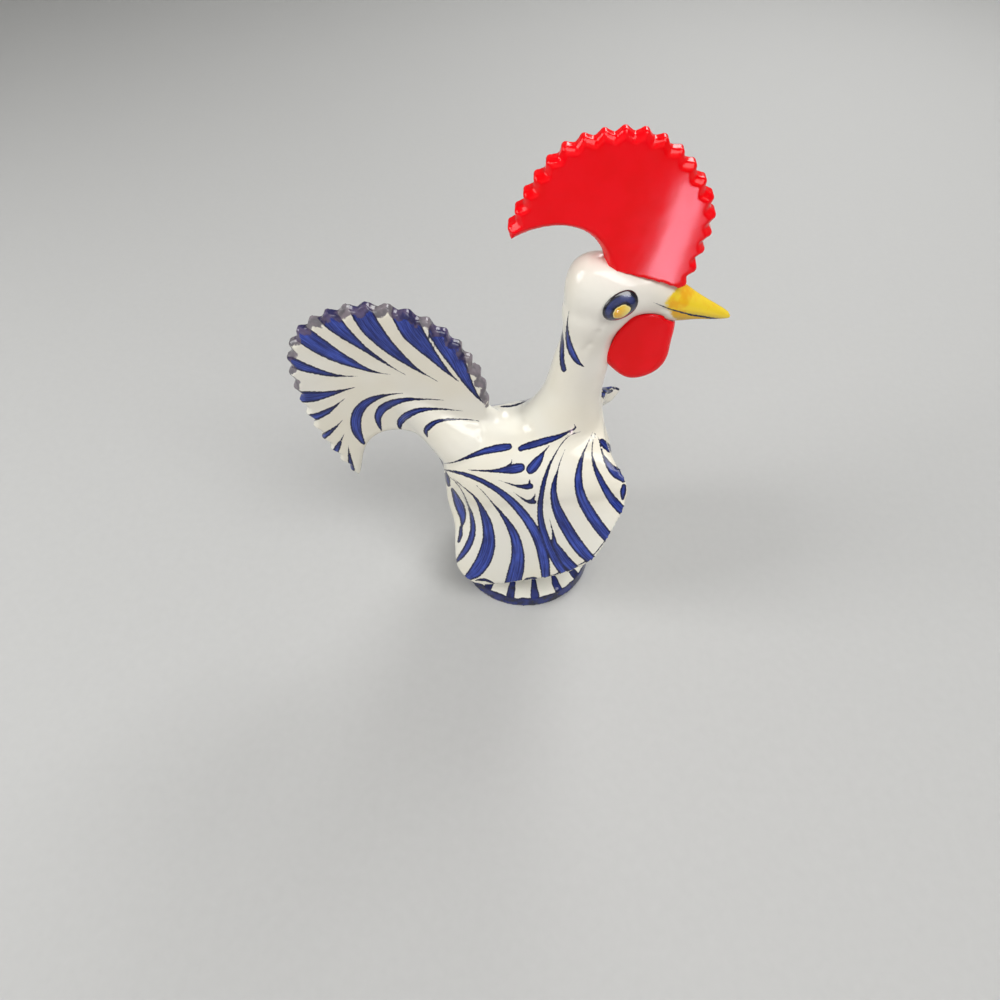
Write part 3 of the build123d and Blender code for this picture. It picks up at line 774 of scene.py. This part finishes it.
figure_glaze, tree, shader = new_finish(
    "painted_white_glaze", Coat_Weight=0.25, Coat_Roughness=0.06, Specular_IOR_Level=0.3
)
ground = blend_colour(tree, spread(tree, grain(tree, 28, 2.0), 0.35, 0.65), glaze_white, glaze_warm)
frayed = spread(tree, grain(tree, 500, 3.0), 0.3, 0.7, -1.5, 1.5)
yellowed = reckon(tree, "ADD", read_mark(tree, "yellow"), frayed)
ground = blend_colour(tree, spread(tree, yellowed, -1.5, 2.5), ground, beak_colour(tree))
frayed = spread(tree, grain(tree, 380), 0.3, 0.7, -0.6, 0.6)
# Painted shade along the tail's pinched rim: within about 2 mm of the outline the colour goes towards a
# dark grey-violet.
on_rim = spread(tree, reckon(tree, "ADD", read_mark(tree, "rim"), frayed), 2.0, 1.4)
tail_rim_shade = blend_colour(tree, spread(tree, grain(tree, 300), 0.4, 0.6), rim_shade_dark, rim_shade_light)
colour = blend_colour(tree, reckon(tree, "MULTIPLY", on_rim, 0.85), brushwork(tree, ground), tail_rim_shade)
glaze(tree, shader, colour)
skin.data.materials.append(figure_glaze)


# Beak. A pointed cone of clay luted to the head, its mouth scored along both sides. It is smoothed
# and painted with the figure, so it is cut from the same skin, a little inside the yellow's edge.
beak_root = (0.0455, 0, 0.149)
beak_way = (0.958, 0, 0.287)
pick_up(skin)
bpy.ops.object.duplicate()
beak = bpy.context.object
beak.name = beak.data.name = "yellow_beak"
for piece in (skin, beak):
    pick_up(piece)
    bpy.ops.object.mode_set(mode="EDIT")
    bpy.ops.mesh.select_all(action="SELECT")
    bpy.ops.mesh.bisect(
        plane_co=beak_root, plane_no=beak_way, use_fill=True,
        clear_inner=piece is beak, clear_outer=piece is skin,
    )
    bpy.ops.mesh.mark_sharp()
    bpy.ops.object.mode_set(mode="OBJECT")
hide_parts("body", "neck", "head", "tail_fan")
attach(skin, "root")
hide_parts("beak")
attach(beak, "root")


# Foot. A thrown ring of the same clay under the body, glazed white, with cobalt stripes down
# its slope to a painted band that goes round the bottom edge.
foot = clay_copy("striped_foot", ("foot",))
work(foot, "REMESH", mode="VOXEL", voxel_size=0.0005, use_smooth_shade=True)
work(foot, "SMOOTH", factor=0.5, iterations=10)
x, y, z = places(foot).T
stripe_turn = math.radians(22.5)
first_stripe = math.radians(-79.5)
from_stripe = ((np.arctan2(y, x) - first_stripe) / stripe_turn + 0.5) % 1 - 0.5
mark(foot, "stripe", np.abs(from_stripe) * stripe_turn * np.hypot(x, y) * 1000)
foot_glaze, tree, shader = new_finish(
    "striped_white_glaze", Coat_Weight=0.35, Coat_Roughness=0.06, Specular_IOR_Level=0.5
)
height = where_on_piece(tree)["Z"]
waver = waver_of(tree, 300, 3.0, 1.2)
half_stripe = spread(tree, height, 0.004, 0.014, 2.1, 0.7)
stripe = reckon(tree, "ADD", reckon(tree, "SUBTRACT", read_mark(tree, "stripe"), half_stripe), waver)
band_top = 0.0052
band = reckon(tree, "MULTIPLY", reckon(tree, "SUBTRACT", height, band_top), 1000)
edge = reckon(tree, "MINIMUM", stripe, reckon(tree, "ADD", band, waver))
inner = blend_colour(tree, spread(tree, grain(tree, 240, 3.0), 0.35, 0.65), cobalt, cobalt_dark)
colour = blend_colour(tree, spread(tree, edge, -0.2, -0.9), cobalt_dark, inner)
glaze(tree, shader, blend_colour(tree, spread(tree, edge, 0.12, -0.12), glaze_white, colour))
foot.data.materials.append(foot_glaze)
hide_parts("foot")
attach(foot, "root")


# Comb. A flat fan of clay pinched into teeth round its edge and pressed onto the head, thicker at
# its root, and coloured in a bright red glaze.
comb = clay_copy("red_comb", ("comb",))
work(comb, "REMESH", mode="VOXEL", voxel_size=0.00036, use_smooth_shade=True)
comb_off_middle, lowest_tooth = 0.0001, 0.164
comb_outline = outline_of("comb", comb_off_middle, lambda p: p.z > lowest_tooth)
tooth_looseness, tooth_tightened = 0.2, 0.004
looseness = np.minimum(1, tooth_looseness + from_outline(comb_outline, places(comb)) / tooth_tightened)
smooth_by(comb, looseness, iterations=40)

# Its two faces are beaten flat, in a wedge that thins evenly upwards.
points = places(comb)
x, y, z = points.T
thickness = np.abs(y)
whole_outline = outline_of("comb", comb_off_middle, lambda p: True)
rim_width, nearly_sideways = 0.0014, 0.9
face = from_outline(whole_outline, points, reach=0.003) > rim_width
face &= np.abs(facings(comb)[:, 1]) > nearly_sideways
near_face = KDTree(int(face.sum()))
for number in np.nonzero(face)[0]:
    near_face.insert((x[number], 0, z[number]), int(number))
near_face.balance()
for number in np.nonzero(~face)[0]:
    thickness[number] = thickness[near_face.find((x[number], 0, z[number]))[1]]
root_height, root_half_thickness, most_half_thickness, thinning = 0.156, 0.0058, 0.0062, 0.068
y *= np.minimum(root_half_thickness - thinning * (z - root_height), most_half_thickness) / thickness
y *= pinched(from_outline(comb_outline, points), depth=0.45)

# Its rear edge is rounded over where it runs down into the head.
rear_x, front_x, root_bottom, root_top, root_full = 0.008, 0.0245, 0.150, 0.178, 0.166
round_width, most_round, rounding = 0.0042, 0.98, 0.75
root_edge = outline_of(
    "comb", comb_off_middle, lambda p: rear_x < p.x < front_x and root_bottom < p.z < root_top
)
roundness = 1 - ramp(from_outline(root_edge, points, reach=0.0045), 0, round_width)
curve = 1 - np.sqrt(1 - np.minimum(roundness, most_round) ** 2)
y *= 1 - rounding * ramp(z, root_top, root_full) * curve
move_to(comb, points)
comb_red = (0.90, 0.001, 0.004, 1)
comb_light_red = (0.95, 0.002, 0.008, 1)
red_glaze, tree, shader = new_finish(
    "red_glaze", Coat_Weight=0.15, Coat_Roughness=0.06, Specular_IOR_Level=0.15
)
mottle = spread(tree, grain(tree, 90, 3.0), 0.35, 0.65)
glaze(tree, shader, blend_colour(tree, mottle, comb_red, comb_light_red), 0.3)
comb.data.materials.append(red_glaze)
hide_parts("comb")
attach(comb, "root")


# Wattle. One plump drop of the same clay, rolled in the palm and pressed on below the beak, in
# the comb's red glaze. It bulges a little at the lower front and at the rear.
wattle = clay_copy("red_wattle", ("wattle",))
work(wattle, "REMESH", mode="VOXEL", voxel_size=0.0004, use_smooth_shade=True)
work(wattle, "SMOOTH", factor=0.5, iterations=24)
points = places(wattle)
x, y, z = points.T
middle_x, middle_z = 0.0375, 0.1325
turn = np.arctan2(z - middle_z, x - middle_x)
fuller = 1
for bulge, way, breadth in ((0.10, -0.75, 0.6), (0.08, -2.6, 0.35)):
    fuller = fuller + bulge * hump(turn, way, breadth)
x[:] = middle_x + (x - middle_x) * fuller
z[:] = middle_z + (z - middle_z) * fuller
move_to(wattle, points)
wattle.data.materials.append(red_glaze)
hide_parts("wattle")
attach(wattle, "root")


# Eyes. Domed pellets of clay pressed on both sides of the head, in a navy glaze that is black
# round the edge, each with a yellow pupil dabbed on.
navy_deep = (0.010, 0.016, 0.075, 1)
navy_thin = (0.030, 0.045, 0.170, 1)
eye_black = (0.004, 0.004, 0.010, 1)
pupil_orange = (0.88, 0.48, 0.02, 1)
pupil_yellow = (0.94, 0.74, 0.14, 1)
pupil_pale = (0.93, 0.78, 0.28, 1)
navy_glaze, tree, shader = new_finish(
    "navy_eye_glaze", Coat_Weight=0.8, Coat_Roughness=0.04, Specular_IOR_Level=0.6
)
position = where_on_piece(tree)
waver = waver_of(tree, 500, 2.0, 0.35)
pupil_x = reckon(tree, "DIVIDE", reckon(tree, "SUBTRACT", position["X"], 0.0289), 0.0027)
pupil_z = reckon(tree, "DIVIDE", reckon(tree, "SUBTRACT", position["Z"], 0.1520), 0.0025)
pupil_z = reckon(tree, "ADD", pupil_z, reckon(tree, "MULTIPLY", pupil_x, -0.15))
squares = [reckon(tree, "MULTIPLY", value, value) for value in (pupil_x, pupil_z)]
pupil = reckon(tree, "ADD", reckon(tree, "SQRT", reckon(tree, "ADD", *squares)), waver)
navy = blend_colour(tree, spread(tree, grain(tree, 420, 3.0), 0.35, 0.7), navy_deep, navy_thin)
navy = blend_colour(tree, spread(tree, read_mark(tree, "spot"), 0.78, 0.92), navy, eye_black)
navy = blend_colour(tree, spread(tree, pupil, 1.12, 1.45), eye_black, navy)
towards_beak = reckon(tree, "ADD", pupil_x, reckon(tree, "MULTIPLY", waver, 4))
yellow = blend_colour(tree, spread(tree, towards_beak, -0.5, 0.8), pupil_orange, pupil_yellow)
yellow = blend_colour(tree, spread(tree, pupil, 0.84, 0.93), yellow, pupil_pale)
glaze(tree, shader, blend_colour(tree, spread(tree, pupil, 0.98, 1.04), yellow, navy))
middle_x, middle_z = 0.02835, 0.1533
dome, flatter, longer, lean, forward, down = 0.0009, 0.84, 1.03, 0.24, 0.0004, 0.0005
pellet_x, pellet_z, half_length, half_height = 0.0282, 0.1532, 0.0053, 0.006
for side, node in ((1, "eye_left"), (-1, "eye_right")):
    eye = clay_copy("painted_" + node, (node,))
    work(eye, "REMESH", mode="VOXEL", voxel_size=0.00018, use_smooth_shade=True)
    work(eye, "SMOOTH", factor=0.5, iterations=14)
    points = places(eye)
    x, y, z = points.T
    spot = np.hypot((x - pellet_x) / half_length, (z - pellet_z) / half_height)
    y += side * dome * np.clip(1 - spot**2, 0, 1)
    # Pressed flatter and leaning forward, a little in front of and below the CAD's round pellet.
    z[:] = middle_z + (z - middle_z) * flatter
    x[:] = middle_x + (x - middle_x) * longer + (z - middle_z) * lean + forward
    z -= down
    move_to(eye, points)
    mark(eye, "spot", spot)
    eye.data.materials.append(navy_glaze)
    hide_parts(node)
    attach(eye, "root")
